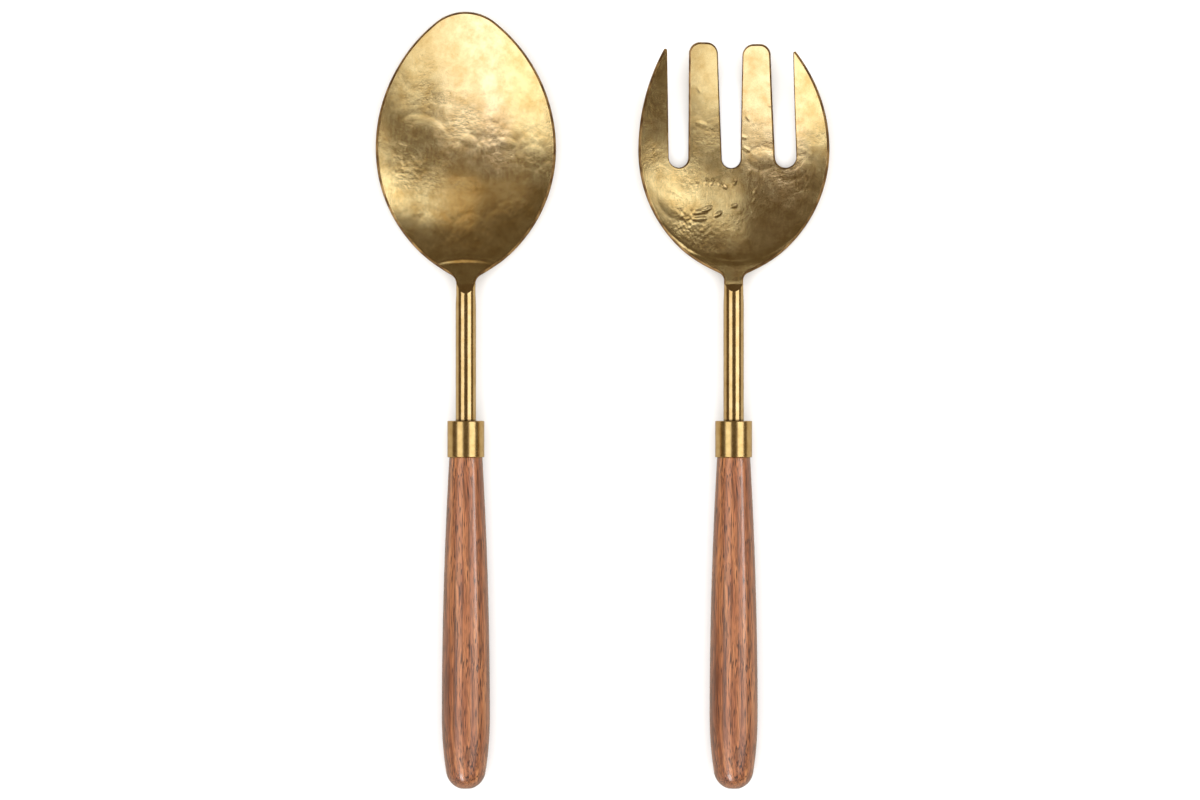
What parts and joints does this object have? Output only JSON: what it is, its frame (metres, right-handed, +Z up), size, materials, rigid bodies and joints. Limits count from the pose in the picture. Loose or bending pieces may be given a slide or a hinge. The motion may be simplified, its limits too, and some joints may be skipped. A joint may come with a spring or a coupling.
{
  "type": "salad servers",
  "caption": "Salad serving spoon and fork with dished, hammered brass heads on round stems, brass ferrules and turned wooden handles.",
  "frame": {"origin": "middle of the pair's footprint on the table that it lies on, face up", "axes": "+Z up from the table, +Y along both servers from the handles' butts to the heads, +X from the spoon to the fork"},
  "size_m": [0.179, 0.305, 0.0189],
  "materials": {
    "head": "hammered and polished",
    "stem": "satin",
    "braze": "satin filler metal",
    "ferrule": "fine turned, polished",
    "handle": "reddish brown hardwood, satin varnish",
    "glue": "cured epoxy"
  },
  "bodies": {
    "spoon": {"spoon_head": "head", "spoon_stem": "stem", "spoon_braze": "braze", "spoon_ferrule": "ferrule", "spoon_handle": "handle", "spoon_tang_glue": "glue"},
    "fork": {"fork_head": "head", "fork_stem": "stem", "fork_braze": "braze", "fork_ferrule": "ferrule", "fork_handle": "handle", "fork_tang_glue": "glue"}
  },
  "joints": [
    {"name": "fork_lift", "type": "slide", "parent": "spoon", "child": "fork", "axis": [0, 0, 1], "range_m": [0, 0.05]}
  ]
}
